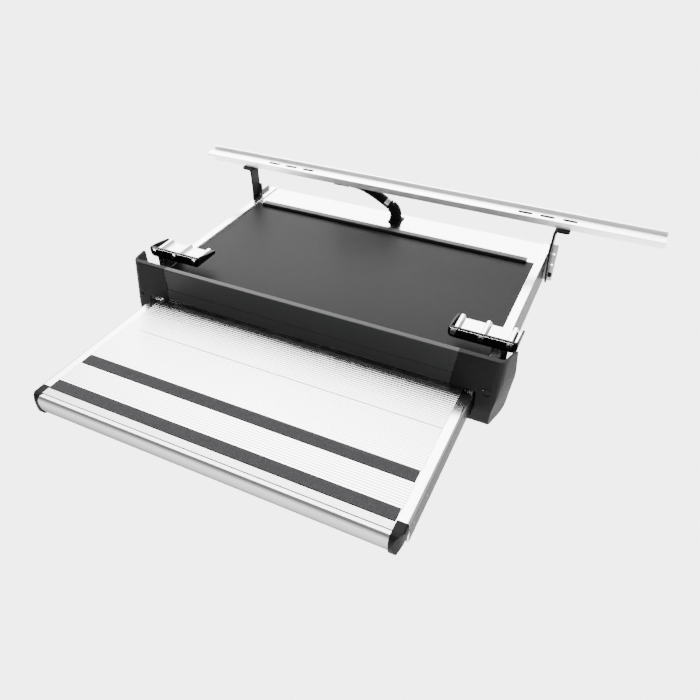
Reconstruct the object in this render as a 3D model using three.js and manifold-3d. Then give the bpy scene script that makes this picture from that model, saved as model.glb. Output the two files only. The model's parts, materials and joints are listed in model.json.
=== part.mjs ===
// Electric slide-out entry step for a camper van, with its under-floor mounting kit, in millimetres.
// X runs along the step's width, Y points from the tread's nose back under the vehicle, Z is up.
// The step is drawn extended about the middle of the tread's top face; the whole group is then moved
// so that the origin sits on the top face of the cross rail, where the kit meets the vehicle floor.
import * as THREE from 'three';
import { mergeVertices } from 'three/addons/utils/BufferGeometryUtils.js';
import Module from 'manifold-3d';

const wasm = await Module();
wasm.setup();

// ---------------------------------------------------------------- driving dimensions
const GAP = 0.3;                       // clearance left between touching pieces

const TREAD_HALF = 260;                // tread, half width between the step's side rails
const TREAD_HEIGHT = 14;               // height of the hollow tread panels
const TREAD_SKIN = 2.2;                // wall of the tread panels
const TREAD_REAR = 160;                // back edge of the rear tread panel
const NOSE_BACK = -160;                // joint between nose profile and front tread panel
const NOSE_FRONT = -183;               // foremost line of the nose
const NOSE_DROP = 30;                  // height of the nose profile
const RIDGE_PITCH = 4.14;              // spacing of the fine tread ridges
const RIDGE_DEPTH = 0.6;
const STRIP_WIDTH = 19;                // anti-slip strips
const STRIP_FRONT_AT = -159.4;         // front edge of the front strip
const STRIP_REAR_AT = -98.5;           // front edge of the rear strip
const STRIP_RECESS = 1;
const STRIP_PROUD = 0.8;

const TRAY_HALF = 275.5;               // half width of the sliding step over its side rails
const TRAY_RAIL_HEIGHT = 34;
const TRAY_RAIL_FRONT = -156.7;
const TRAY_RAIL_REAR = 230;
const RAIL_WALL = 2.4;

const CASSETTE_HALF = 293;             // half width of the fixed cassette over its side rails
const COVER_HALF = 279;                // half width of the cover sheet
const COVER_TOP = 26;                  // height of the side rails' upper flanges above the tread
const SHEET_TOP = 24;                  // the cover sheets lie a little lower, between the flanges
const COVER_REAR = 423;
const SHEET = 1.7;                     // thickness of the cover sheets
const CASSETTE_BOTTOM = -37.5;
const CASSETTE_FRONT = 104;
const CASSETTE_REAR = 497;

const FASCIA_FRONT = 81;               // lower front edge of the fascia
const FASCIA_BOTTOM = 5.8;
const FASCIA_TOP = 58;
const FASCIA_BACK = 97.5;
const FASCIA_LEAN = 7.4;               // how far the face leans back from its foot to its top
const FASCIA_HALF_TOP = 246;           // half length at the top edge
const FASCIA_HALF_BOTTOM = 240;        // half length at the foot
const FASCIA_GROOVE_AT = 24.5;

const CAP_FRONT_HALF = 306.3;          // end cap: outer wall at its front, where it starts to flare
const CAP_FLARE_FROM = 76;
const CAP_FLARE = 0.25;                // how far the wall spreads for each millimetre towards the rear
const CAP_REAR = 130;
const CAP_BOTTOM = -51;
const CAP_CHIN = -18;                  // where the face stops leaning
const CAP_CHIN_FOOT = 80.5;            // foot of the face
const CAP_WALL = 3.2;
const SLOT_HALF = 279.7;               // mouth that the step slides through
const SLOT_TOP = 5.2;
const SLOT_BOTTOM = -39;
const PLUG_RADIUS = 5.6;
const PLUG_AT = [294, 8];              // x and z of the screw plug in each cap

const SPINDLE_Z = -24;                 // height of the drive spindle's axis
const SPINDLE_RADIUS = 6;

const RAIL_TOP = 95;                   // cross rail: height of its top face
const RAIL_LEFT = -413;
const RAIL_RIGHT = 470;
const RAIL_FRONT = 449;
const RAIL_BACK = 480;
const RAIL_THICK = 4;
const RAIL_FLANGE_DOWN = 11;
const RAIL_FLANGE_UP = 6;
const RAIL_NOTCH = 20;
const RAIL_SLOT = [25, 8];             // length and width of a slot
const RAIL_SLOT_PITCH = 38;
const RAIL_SLOT_Y = 461;
const RAIL_SLOT_CENTRES = [-258.5, 241.8];

const STRUT_X = 297.5;                 // inner face of each strut
const STRUT_THICK = 4;
const STRUT_FRONT = 436;
const STRUT_WIDTH = 24;
const STRUT_BOTTOM = -20;
const FOOT_FRONT = 440;                // the strut's foot under the cross rail
const FOOT_OUT = 323;
const FOOT_TOP = RAIL_TOP - RAIL_FLANGE_DOWN - GAP;

const BRACKET_CENTRES = { right: 265.5, left: 260.5 };   // front mounting brackets, from the middle
const BRACKET_HALF = 49.5;
const BRACKET_FRONT = 134;
const BRACKET_BACK = 180;
const BRACKET_BOTTOM = 44.5;
const BRACKET_TOP = 62;
const BRACKET_REAR_TOP = 54;           // height of the ears at their rear end
const BRACKET_WALL = 3;
const BRACKET_BOLT_PITCH = 39.8;

const ORIGIN_ON_RAIL = [0, (RAIL_FRONT + RAIL_BACK) / 2, RAIL_TOP];

// ---------------------------------------------------------------- colours
const FINISH = {
  aluminium: { color: 0xe4e5e6, roughness: 0.35, metalness: 0.9 },
  anthracite: { color: 0x454947, roughness: 0.45, metalness: 0.4 },
  sheet: { color: 0x4d4f50, roughness: 0.5, metalness: 0.3 },
  plastic: { color: 0x2c2c2c, roughness: 0.55, metalness: 0 },
  rubber: { color: 0x1d1d1d, roughness: 0.85, metalness: 0 },
  grip: { color: 0x3b3b3b, roughness: 0.95, metalness: 0 },
  black: { color: 0x191919, roughness: 0.45, metalness: 0.2 },
  zinc: { color: 0xd9dadb, roughness: 0.4, metalness: 0.85 },
  steel: { color: 0xb4b6b8, roughness: 0.3, metalness: 0.95 },
};

// ---------------------------------------------------------------- solids
function toManifold(geometry) {
  const bare = geometry.clone();
  bare.deleteAttribute('normal');
  bare.deleteAttribute('uv');
  const merged = mergeVertices(bare, 1e-4);
  return new wasm.Manifold(new wasm.Mesh({
    numProp: 3,
    vertProperties: new Float32Array(merged.attributes.position.array),
    triVerts: new Uint32Array(merged.index.array),
  }));
}

function fromManifold(manifold) {
  const mesh = manifold.getMesh();
  const geometry = new THREE.BufferGeometry();
  geometry.setAttribute('position', new THREE.BufferAttribute(new Float32Array(mesh.vertProperties), 3));
  geometry.setIndex(new THREE.BufferAttribute(new Uint32Array(mesh.triVerts), 1));
  geometry.computeVertexNormals();
  return geometry;
}

const cut = (body, ...tools) => fromManifold(
  tools.reduce((left, tool) => left.subtract(toManifold(tool)), toManifold(body)));
const join = (body, ...others) => fromManifold(
  others.reduce((whole, other) => whole.add(toManifold(other)), toManifold(body)));
const common = (body, ...others) => fromManifold(
  others.reduce((whole, other) => whole.intersect(toManifold(other)), toManifold(body)));

function mirrored(geometry) {
  const twin = fromManifold(toManifold(geometry));
  twin.scale(-1, 1, 1);
  const index = twin.getIndex().array;
  for (let i = 0; i < index.length; i += 3) {
    [index[i], index[i + 1]] = [index[i + 1], index[i]];
  }
  twin.computeVertexNormals();
  return twin;
}

// The points of a closed outline; a corner given as [u, v, r] is rounded by about r.
function outline(corners, arcSteps) {
  const count = corners.length;
  const point = (i) => new THREE.Vector2(corners[i][0], corners[i][1]);
  const points = [];
  for (let i = 0; i < count; i += 1) {
    const here = point(i);
    const radius = corners[i][2] ?? 0;
    if (radius === 0) {
      points.push(here);
    } else {
      const towards = (other) => here.clone().lerp(other, radius / here.distanceTo(other));
      const start = towards(point((i + count - 1) % count));
      const end = towards(point((i + 1) % count));
      points.push(...new THREE.QuadraticBezierCurve(start, here, end).getPoints(arcSteps));
    }
  }
  return points.filter((p, i) => p.distanceTo(points[(i + 1) % points.length]) > 0.001);
}

const PROFILE_BASIS = {
  x: [new THREE.Vector3(0, 1, 0), new THREE.Vector3(0, 0, 1), new THREE.Vector3(1, 0, 0)],
  y: [new THREE.Vector3(-1, 0, 0), new THREE.Vector3(0, 0, 1), new THREE.Vector3(0, 1, 0)],
  z: [new THREE.Vector3(1, 0, 0), new THREE.Vector3(0, 1, 0), new THREE.Vector3(0, 0, 1)],
};

// A profile run along an axis, with any holes running right through it.
function profile(axis, corners, from, to, holes, arcSteps) {
  const run = (points, start, end) => {
    const flat = axis === 'y' ? points.map(([x, z, r]) => [-x, z, r]) : points;
    const shape = new THREE.Shape(outline(flat, arcSteps));
    const geometry = new THREE.ExtrudeGeometry(shape, { depth: end - start, bevelEnabled: false });
    geometry.translate(0, 0, start);
    return geometry.applyMatrix4(new THREE.Matrix4().makeBasis(...PROFILE_BASIS[axis]));
  };
  return cut(run(corners, from, to), ...holes.map((hole) => run(hole, from - 1, to + 1)));
}

// Profiles are listed in (y, z) along X, in (x, z) along Y and in (x, y) along Z.
const alongX = (corners, x0, x1, holes = [], arcSteps = 4) => profile('x', corners, x0, x1, holes, arcSteps);
const alongY = (corners, y0, y1, holes = [], arcSteps = 4) => profile('y', corners, y0, y1, holes, arcSteps);
const alongZ = (corners, z0, z1, holes = [], arcSteps = 4) => profile('z', corners, z0, z1, holes, arcSteps);

function box(x0, x1, y0, y1, z0, z1) {
  return new THREE.BoxGeometry(x1 - x0, y1 - y0, z1 - z0)
    .translate((x0 + x1) / 2, (y0 + y1) / 2, (z0 + z1) / 2);
}

// A prism about an axis, from one station on that axis to another.
function rod(axis, radius, centre, from, to, sides = 16) {
  const geometry = new THREE.CylinderGeometry(radius, radius, to - from, sides);
  const middle = (from + to) / 2;
  if (axis === 'x') {
    return geometry.rotateZ(-Math.PI / 2).translate(middle, centre[0], centre[1]);
  }
  if (axis === 'y') {
    return geometry.translate(centre[0], middle, centre[1]);
  }
  return geometry.rotateX(Math.PI / 2).translate(centre[0], centre[1], middle);
}

const hexagon = (axis, acrossFlats, centre, from, to) => rod(
  axis, acrossFlats / Math.sqrt(3), centre, from, to, 6);

// ---------------------------------------------------------------- the group
const step = new THREE.Group();

function add(name, finish, geometry) {
  const mesh = new THREE.Mesh(geometry, new THREE.MeshStandardMaterial(FINISH[finish]));
  mesh.name = name;
  step.add(mesh);
}

function addPair(name, finish, rightGeometry) {
  add(`${name}_right`, finish, rightGeometry);
  add(`${name}_left`, finish, mirrored(rightGeometry));
}

// ---------------------------------------------------------------- sliding step
// Shallow V grooves between two stations of a top face, listed from back to front.
function ridgeGrooves(from, to) {
  const points = [];
  const count = Math.floor((to - from) / RIDGE_PITCH);
  const start = from + (to - from - (count - 1) * RIDGE_PITCH) / 2;
  for (let i = count - 1; i >= 0; i -= 1) {
    const middle = start + i * RIDGE_PITCH;
    points.push([middle + 0.9, 0], [middle + 0.4, -RIDGE_DEPTH]);
    points.push([middle - 0.4, -RIDGE_DEPTH], [middle - 0.9, 0]);
  }
  return points;
}

function treadChambers(from, to, count) {
  const rib = 3;
  const room = (to - from - rib) / count;
  return Array.from({ length: count }, (_, i) => {
    const y = from + rib + i * room;
    return [
      [y, -TREAD_HEIGHT + TREAD_SKIN], [y + room - rib, -TREAD_HEIGHT + TREAD_SKIN],
      [y + room - rib, -TREAD_SKIN - STRIP_RECESS], [y, -TREAD_SKIN - STRIP_RECESS],
    ];
  });
}

function stripRecess(front) {
  const from = front - GAP;
  const to = front + STRIP_WIDTH + GAP;
  return [[to, 0], [to, -STRIP_RECESS], [from, -STRIP_RECESS], [from, 0]];
}

function treadFront() {
  const front = NOSE_BACK + GAP;
  const back = -GAP / 2;
  const frontRecess = stripRecess(STRIP_FRONT_AT);
  const corners = [
    [front, -TREAD_HEIGHT], [back, -TREAD_HEIGHT], [back, 0],
    ...ridgeGrooves(STRIP_REAR_AT + STRIP_WIDTH + GAP, back),
    ...stripRecess(STRIP_REAR_AT),
    ...ridgeGrooves(STRIP_FRONT_AT + STRIP_WIDTH + GAP, STRIP_REAR_AT - GAP),
    frontRecess[0], frontRecess[1], [front, -STRIP_RECESS],
  ];
  return alongX(corners, GAP - TREAD_HALF, TREAD_HALF - GAP, treadChambers(front, back, 4));
}

function treadRear() {
  const front = GAP / 2;
  const corners = [
    [front, -TREAD_HEIGHT], [TREAD_REAR, -TREAD_HEIGHT], [TREAD_REAR, 0],
    ...ridgeGrooves(front, TREAD_REAR), [front, 0],
  ];
  return alongX(corners, GAP - TREAD_HALF, TREAD_HALF - GAP, treadChambers(front, TREAD_REAR, 4));
}

// The nose's front runs as part of an ellipse from the step edge down to its foot.
function noseFace(frontY, topZ, footY, footZ, steps) {
  const middleZ = (topZ + footZ) * 0.42;
  return Array.from({ length: steps + 1 }, (_, i) => {
    const turn = Math.PI * (0.5 - i / steps) * 0.86;
    const half = turn > 0 ? topZ - middleZ : middleZ - footZ;
    const depth = (footY - frontY) * (1 - Math.cos(turn) / 1);
    return [frontY + depth * 1.15, middleZ + half * Math.sin(turn) / Math.sin(Math.PI * 0.43)];
  });
}

function noseProfile() {
  const back = NOSE_BACK - GAP;
  const ribs = [-163.4, -166.2, -169].map((y) => [[y + 0.5, 0], [y, -0.5], [y - 0.5, 0]]).flat();
  const corners = [
    [back, -NOSE_DROP + 6], [back, 0], ...ribs,
    [-171, 0], [-171.6, -1.4], [-172.4, -1.4],
    ...noseFace(NOSE_FRONT, -1, -176.5, -NOSE_DROP, 12), [-166, -NOSE_DROP],
  ];
  const chamber = [
    [-163, -23], [-163, -3.5], [-170, -4.6, 1], [-178.6, -9, 3], [-179.6, -17, 3], [-175, -27], [-167, -27],
  ];
  return alongX(corners, GAP - TREAD_HALF, TREAD_HALF - GAP, [chamber]);
}

function noseCap() {
  const rear = TRAY_RAIL_FRONT - GAP;
  const side = [
    [rear, -TRAY_RAIL_HEIGHT, 2], [rear, 0], [-171.5, 0, 2],
    ...noseFace(NOSE_FRONT - 0.8, -0.6, -176.5, -TRAY_RAIL_HEIGHT, 10),
  ];
  const outer = TRAY_HALF + 0.3;
  const plan = [
    [TREAD_HALF, rear + 1], [TREAD_HALF, NOSE_FRONT - 3], [TREAD_HALF + 5, NOSE_FRONT - 1, 3],
    [outer - 2.5, NOSE_FRONT + 9, 7], [outer, rear - 5, 4], [outer, rear + 1],
  ];
  const front = [
    [TREAD_HALF, -TRAY_RAIL_HEIGHT - 1], [outer - 8, -TRAY_RAIL_HEIGHT - 1, 6],
    [outer - 0.6, -TRAY_RAIL_HEIGHT + 16, 7], [outer, -7, 3.5], [outer - 2, 0.1, 3], [TREAD_HALF, 0.1],
  ];
  return common(
    alongX(side, TREAD_HALF, TRAY_HALF + 1),
    alongZ(plan, -TRAY_RAIL_HEIGHT - 2, 2, [], 6),
    alongY(front, NOSE_FRONT - 4, rear + 2, [], 6));
}

const RAIL_SCREW_STATIONS = [-144.6, -101.4, -1, 48.6];
const RAIL_SCREW_Z = -15;

function trayRail() {
  const inner = TREAD_HALF;
  const corners = [
    [inner, -TRAY_RAIL_HEIGHT], [TRAY_HALF, -TRAY_RAIL_HEIGHT, 1], [TRAY_HALF, -9.4],
    [TRAY_HALF - 0.9, -8.9], [TRAY_HALF - 0.9, -7.9], [TRAY_HALF, -7.4], [TRAY_HALF, 0, 4.5], [inner, 0],
  ];
  const hollow = [
    [inner + RAIL_WALL, -TRAY_RAIL_HEIGHT + RAIL_WALL],
    [TRAY_HALF - RAIL_WALL, -TRAY_RAIL_HEIGHT + RAIL_WALL],
    [TRAY_HALF - RAIL_WALL, -5, 2], [TRAY_HALF - 5, -RAIL_WALL], [inner + RAIL_WALL, -RAIL_WALL],
  ];
  const recesses = RAIL_SCREW_STATIONS.map((y) => rod(
    'x', 2.8, [y, RAIL_SCREW_Z], TRAY_HALF - 1.2, TRAY_HALF + 1, 12));
  return cut(alongY(corners, TRAY_RAIL_FRONT, TRAY_RAIL_REAR, [hollow]), ...recesses);
}

function gripStrip(front) {
  return box(-TREAD_HALF + 1.5, TREAD_HALF - 1.5, front, front + STRIP_WIDTH,
    -STRIP_RECESS + GAP, STRIP_PROUD);
}

const BEAM_FRONT = TREAD_REAR + GAP;
const BEAM_BACK = TREAD_REAR + 12;

function trayRearBeam() {
  const wall = 2.5;
  const corners = [
    [BEAM_FRONT, -33], [BEAM_BACK, -33], [BEAM_BACK, -33 + wall], [BEAM_FRONT + wall, -33 + wall],
    [BEAM_FRONT + wall, -2 - wall], [BEAM_BACK, -2 - wall], [BEAM_BACK, -2], [BEAM_FRONT, -2],
  ];
  const bore = rod('y', SPINDLE_RADIUS + 2.5, [0, SPINDLE_Z], BEAM_FRONT - 2, BEAM_BACK + 2, 20);
  return cut(alongX(corners, GAP - TREAD_HALF, TREAD_HALF - GAP), bore);
}

function spindleNut() {
  const top = -TREAD_HEIGHT - 0.5;
  const body = alongY([
    [-17, top], [-17, -28, 4], [-9, -33.5, 3], [9, -33.5, 3], [17, -28, 4], [17, top],
  ], 141, BEAM_FRONT - GAP);
  return cut(body, rod('y', SPINDLE_RADIUS + 0.5, [0, SPINDLE_Z], 138, 162, 20));
}

const glideShoe = () => box(TRAY_HALF + GAP, 289.8, 172, 229, -34, 0.6);

add('tread_front', 'aluminium', treadFront());
add('tread_rear', 'aluminium', treadRear());
add('nose_profile', 'aluminium', noseProfile());
addPair('nose_cap', 'plastic', noseCap());
addPair('tray_rail', 'aluminium', trayRail());
add('grip_strip_front', 'grip', gripStrip(STRIP_FRONT_AT));
add('grip_strip_rear', 'grip', gripStrip(STRIP_REAR_AT));
add('tray_rear_beam', 'zinc', trayRearBeam());
add('spindle_nut', 'plastic', spindleNut());
addPair('glide_shoe', 'plastic', glideShoe());

// ---------------------------------------------------------------- drive
const SPINDLE_FRONT = 112;
const THREAD_FRONT = 133;
const THREAD_REAR = 434;
const COUPLING = [438, 459];
const GEARBOX_FRONT = 462;

function lathe(profile) {
  const points = profile.map(([radius, y]) => new THREE.Vector2(radius, y));
  return new THREE.LatheGeometry(points, 20).translate(0, 0, SPINDLE_Z);
}

add('drive_spindle', 'steel', lathe([
  [0, SPINDLE_FRONT], [4.5, SPINDLE_FRONT], [5, SPINDLE_FRONT + 0.5], [5, THREAD_FRONT],
  [SPINDLE_RADIUS, THREAD_FRONT + 1], [SPINDLE_RADIUS, THREAD_REAR - 1], [4, THREAD_REAR], [4, 447],
  [0, 447],
]));

function shaftCoupling() {
  const sleeve = rod('y', 11, [0, SPINDLE_Z], COUPLING[0], COUPLING[1], 24);
  return cut(sleeve, rod('y', 4.3, [0, SPINDLE_Z], COUPLING[0] - 1, COUPLING[1] + 1, 20));
}

add('shaft_coupling', 'aluminium', shaftCoupling());
add('gearbox_shaft', 'steel', rod('y', 4, [0, SPINDLE_Z], 448, GEARBOX_FRONT + 9, 20));

function frontBearing() {
  const block = alongY(
    [[-18, -37.6], [18, -37.6], [18, -32], [11, -32], [11, -17, 5], [-11, -17, 5], [-11, -32], [-18, -32]],
    115, 130);
  return cut(block, rod('y', 5.3, [0, SPINDLE_Z], 112, 132, 20));
}

function gearbox() {
  const housing = alongY(
    [[-23, -36, 6], [30, -36, 6], [30, 8, 6], [-14, 8, 6], [-23, -4, 4]], GEARBOX_FRONT, 494);
  const nose = rod('y', 13, [0, SPINDLE_Z + 2], GEARBOX_FRONT - 0.5, GEARBOX_FRONT + 4, 20);
  return cut(join(housing, nose), rod('y', 4.3, [0, SPINDLE_Z], GEARBOX_FRONT - 4, GEARBOX_FRONT + 12, 20));
}

function driveMotor() {
  const axis = [478, -14];
  const can = rod('x', 16, axis, 30 + GAP, 96, 28);
  const collar = rod('x', 12, axis, 95, 101, 24);
  return join(can, collar);
}

function motorMount() {
  const plate = box(-36, 40, GEARBOX_FRONT - 4, GEARBOX_FRONT - 0.8, -36.5, 22);
  const flange = box(-36, 40, 446, GEARBOX_FRONT - 3, 18.8, 22);
  const bore = rod('y', 14, [0, SPINDLE_Z + 2], 455, 465, 24);
  const screws = [[-28, 14], [34, 14]].map((at) => hexagon('y', 8, at, GEARBOX_FRONT - 8, GEARBOX_FRONT - 3));
  return join(cut(join(plate, flange), bore), ...screws);
}

add('front_bearing', 'plastic', frontBearing());
add('drive_gearbox', 'black', gearbox());
add('drive_motor', 'steel', driveMotor());
add('motor_mount', 'zinc', motorMount());

// ---------------------------------------------------------------- cassette
function sideRail() {
  const outer = CASSETTE_HALF;
  const web = outer - 2.5;
  const corners = [
    [COVER_HALF, COVER_TOP], [COVER_HALF, COVER_TOP - 2.5], [web, COVER_TOP - 2.5], [web, 3.7], [281, 3.7],
    [281, 1.2], [web, 1.2], [web, CASSETTE_BOTTOM + 2.5], [COVER_HALF + 1, CASSETTE_BOTTOM + 2.5],
    [COVER_HALF + 1, CASSETTE_BOTTOM], [outer, CASSETTE_BOTTOM], [outer, COVER_TOP, 1],
  ];
  return alongY(corners, CASSETTE_FRONT, CASSETTE_REAR);
}

function coverPlate() {
  return box(GAP - COVER_HALF, COVER_HALF - GAP, FASCIA_BACK + GAP, COVER_REAR, SHEET_TOP - SHEET, SHEET_TOP);
}

const CONDUIT_FOOT = [1.5, 468];

function rearPlate() {
  const half = COVER_HALF - GAP;
  const top = box(-half, half, COVER_REAR + GAP, CASSETTE_REAR, SHEET_TOP - SHEET, SHEET_TOP);
  const flange = box(-half, half, CASSETTE_REAR - SHEET, CASSETTE_REAR, -20, SHEET_TOP);
  const hole = rod('z', 9, CONDUIT_FOOT, 10, 40, 20);
  return cut(join(top, flange), hole);
}

function rearBar() {
  const front = COVER_REAR - 7;
  const corners = [
    [front, SHEET_TOP + 1.6], [front + 1.5, SHEET_TOP + 1.6], [front + 1.5, SHEET_TOP + GAP],
    [front + 13, SHEET_TOP + GAP], [front + 13, SHEET_TOP + 5, 1.5], [front, SHEET_TOP + 5, 1],
  ];
  return alongX(corners, -265, 265);
}

const faceY = (z) => FASCIA_FRONT + FASCIA_LEAN * (z - FASCIA_BOTTOM) / (FASCIA_TOP - FASCIA_BOTTOM);
const faceX = (z) => FASCIA_HALF_BOTTOM + (FASCIA_HALF_TOP - FASCIA_HALF_BOTTOM)
  * (z - FASCIA_BOTTOM) / (FASCIA_TOP - FASCIA_BOTTOM);

function fasciaProfile() {
  const grooveHigh = FASCIA_GROOVE_AT + 0.7;
  const grooveLow = FASCIA_GROOVE_AT - 0.7;
  const corners = [
    [faceY(FASCIA_BOTTOM), FASCIA_BOTTOM, 1.5], [FASCIA_BACK - 6, FASCIA_BOTTOM, 2], [FASCIA_BACK, 12],
    [FASCIA_BACK, FASCIA_TOP, 0.8],
    [faceY(FASCIA_TOP), FASCIA_TOP, 1.6], [faceY(grooveHigh), grooveHigh],
    [faceY(grooveHigh) + 1, grooveHigh - 0.3], [faceY(grooveLow) + 1, grooveLow + 0.3],
    [faceY(grooveLow), grooveLow],
  ];
  const back = FASCIA_BACK - 2.8;
  const roof = FASCIA_TOP - 3.2;
  const chamber = [[84.6, 9], [back - 4, 9], [back, 14], [back, roof], [faceY(roof) + 3, roof]];
  const ends = [
    [-faceX(0) + GAP, 0], [faceX(0) - GAP, 0], [faceX(60) - GAP, 60], [-faceX(60) + GAP, 60],
  ];
  return common(alongX(corners, -250, 250, [chamber]), alongY(ends, 70, 110));
}

// End cap: a front face flush with the fascia, an outer wall that flares out towards the rear and draws
// in a little towards its foot, and an open back that closes over the end of the side rail.
function capWall(inset) {
  const reach = CAP_FRONT_HALF - inset;
  const section = [
    [230, -65], [reach - 6, -65], [reach - 4, -30, 10], [reach, 6, 12], [reach + 0.6, 40, 10],
    [reach + 0.4, 75], [230, 75],
  ];
  const flare = new THREE.Matrix4().set(
    1, CAP_FLARE, 0, -CAP_FLARE * CAP_FLARE_FROM,
    0, 1, 0, 0,
    0, 0, 1, 0,
    0, 0, 0, 1);
  return alongY(section, 60, 160, [], 6).applyMatrix4(flare);
}

function capSide() {
  return [
    [faceY(FASCIA_TOP), FASCIA_TOP, 2], [faceY(CAP_CHIN), CAP_CHIN, 6], [CAP_CHIN_FOOT, CAP_BOTTOM, 7],
    [CAP_REAR - 1, CAP_BOTTOM, 20], [CAP_REAR - 1, -5, 3], [CAP_REAR + 1, 8, 4],
    [CAP_REAR - 3.5, FASCIA_TOP - 2, 1], [105, FASCIA_TOP],
  ];
}

// The soft vertical corner between the face and the wall, leaning as the face does.
function capCorner(inset) {
  const front = faceY(0) - 0.4 + inset;
  const corner = CAP_FRONT_HALF + 2 - inset;
  const lean = new THREE.Matrix4().set(
    1, 0, 0, 0,
    0, 1, FASCIA_LEAN / (FASCIA_TOP - FASCIA_BOTTOM), 0,
    0, 0, 1, 0,
    0, 0, 0, 1);
  const plan = [
    [225, front], [corner, front, 14 - inset], [corner + 20, front + 80], [corner + 20, 180], [225, 180],
  ];
  return alongZ(plan, -65, 75, [], 6).applyMatrix4(lean);
}

function endCap() {
  const shell = common(alongX(capSide(), 232, 330, [], 8), capWall(0), capCorner(0));
  const roof = FASCIA_TOP - CAP_WALL;
  const floor = CAP_BOTTOM + CAP_WALL;
  const inside = common(
    alongX([
      [faceY(roof) + CAP_WALL, roof], [faceY(CAP_CHIN) + CAP_WALL, CAP_CHIN],
      [CAP_CHIN_FOOT + CAP_WALL, floor], [150, floor], [150, roof],
    ], 225, 340),
    capWall(CAP_WALL),
    capCorner(CAP_WALL));
  const spigot = box(220, 262, 60, FASCIA_BACK, SLOT_TOP - 1, 70);
  const topOpening = common(
    box(225, 340, FASCIA_BACK, 160, roof - 1, 72), capWall(CAP_WALL), capCorner(CAP_WALL));
  const narrow = SLOT_HALF - 2.4;
  const mouth = alongY([
    [225, SLOT_BOTTOM], [narrow, SLOT_BOTTOM, 3], [narrow, -26], [SLOT_HALF, -24],
    [SLOT_HALF, SLOT_TOP, 5], [225, SLOT_TOP],
  ], 60, 100, [], 6);
  const joint = alongY([
    [220, -70], [faceX(FASCIA_BOTTOM), -70], [faceX(FASCIA_BOTTOM), FASCIA_BOTTOM], [faceX(70), 70], [220, 70],
  ], 60, 160);
  const plugHole = rod('y', PLUG_RADIUS + 0.35, PLUG_AT, 70, 100, 24);
  const railRoom = box(225, CASSETTE_HALF + 0.6, FASCIA_BACK, 160, CASSETTE_BOTTOM - 0.5, 70);
  return cut(shell, cut(inside, spigot), topOpening, mouth, joint, plugHole, railRoom);
}

function capPlug() {
  const face = faceY(PLUG_AT[1]) + 0.3;
  const disc = rod('y', PLUG_RADIUS, PLUG_AT, face, face + 3, 24);
  const stem = rod('y', 3, PLUG_AT, face + 2, face + 12, 12);
  return join(disc, stem);
}

function lockTab() {
  const proud = 1.3;
  const corners = [
    [faceY(24.7) - proud, 24.7], [faceY(24.7) - GAP, 24.7], [faceY(35.8) - GAP, 35.8],
    [faceY(35.8) - proud, 35.8, 1],
  ];
  return alongX(corners, -245.4, -241.6);
}

function lowerBeam(from, to) {
  const bottom = CASSETTE_BOTTOM - GAP - 8;
  const top = CASSETTE_BOTTOM - GAP;
  const half = CASSETTE_HALF - 6;
  const chamber = [
    [from + 1.8, bottom + 1.8], [to - 1.8, bottom + 1.8], [to - 1.8, top - 1.8], [from + 1.8, top - 1.8],
  ];
  return alongX([[from, bottom], [to, bottom], [to, top], [from, top]], -half, half, [chamber]);
}

addPair('side_rail', 'aluminium', sideRail());
add('cover_plate', 'sheet', coverPlate());
add('rear_plate', 'zinc', rearPlate());
add('rear_bar', 'anthracite', rearBar());
add('rear_seal', 'rubber', box(
  -264, 264, COVER_REAR - 10, COVER_REAR - 7.3, SHEET_TOP + GAP, SHEET_TOP + 1.8));
add('fascia_profile', 'anthracite', fasciaProfile());
addPair('end_cap', 'plastic', endCap());
addPair('cap_plug', 'plastic', capPlug());
add('lock_tab', 'black', lockTab());
add('lower_beam_front', 'aluminium', lowerBeam(106, 136));
add('lower_beam_rear', 'aluminium', lowerBeam(466, 494));
addPair('end_stop', 'rubber', box(280.5, 290, 492, 496.5, -30, -2));
add('limit_switch', 'plastic', join(
  box(-256, -236, 436, 450, 10, SHEET_TOP - SHEET - GAP), box(-249, -243, 436, 446, -6, 11)));

// ---------------------------------------------------------------- cable conduit
const CONDUIT_RADIUS = 9.7;

// A tube that follows a smooth curve between two of its points.
function tube(radius, points, steps, sides) {
  const curve = new THREE.CatmullRomCurve3(points.map((p) => new THREE.Vector3(...p)), false, 'centripetal');
  const section = new THREE.Shape();
  for (let i = 0; i < sides; i += 1) {
    const turn = 2 * Math.PI * i / sides;
    const place = [radius * Math.cos(turn), radius * Math.sin(turn)];
    if (i === 0) {
      section.moveTo(...place);
    } else {
      section.lineTo(...place);
    }
  }
  return new THREE.ExtrudeGeometry(section, { steps, extrudePath: curve, curveSegments: sides });
}

// The elbow turns from straight up to the hose's slope; the hose climbs under the cross rail.
const ELBOW_BEND = 17;
const ELBOW_TURN = 1.15;
const ELBOW_START = 36;

function elbowPoint(turn) {
  const [x, y] = CONDUIT_FOOT;
  return [x - ELBOW_BEND * (1 - Math.cos(turn)), y + 1.6 * turn, ELBOW_START + ELBOW_BEND * Math.sin(turn)];
}

const ELBOW_ROUTE = [
  [CONDUIT_FOOT[0], CONDUIT_FOOT[1], 28],
  ...[0, 0.2, 0.4, 0.6, 0.8, 1].map((part) => elbowPoint(part * ELBOW_TURN)),
];
const HOSE_ROUTE = [
  [-10.2, 470.2, 52.6], [-30, 472.6, 61.6], [-52, 475.4, 70.6], [-76, 477.2, 77.6], [-100, 477, 80],
];
const PLUG_ROUTE = [[-101.6, 477, 80.1], [-116, 476.8, 80.2], [-131, 476.6, 79.8]];

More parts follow.
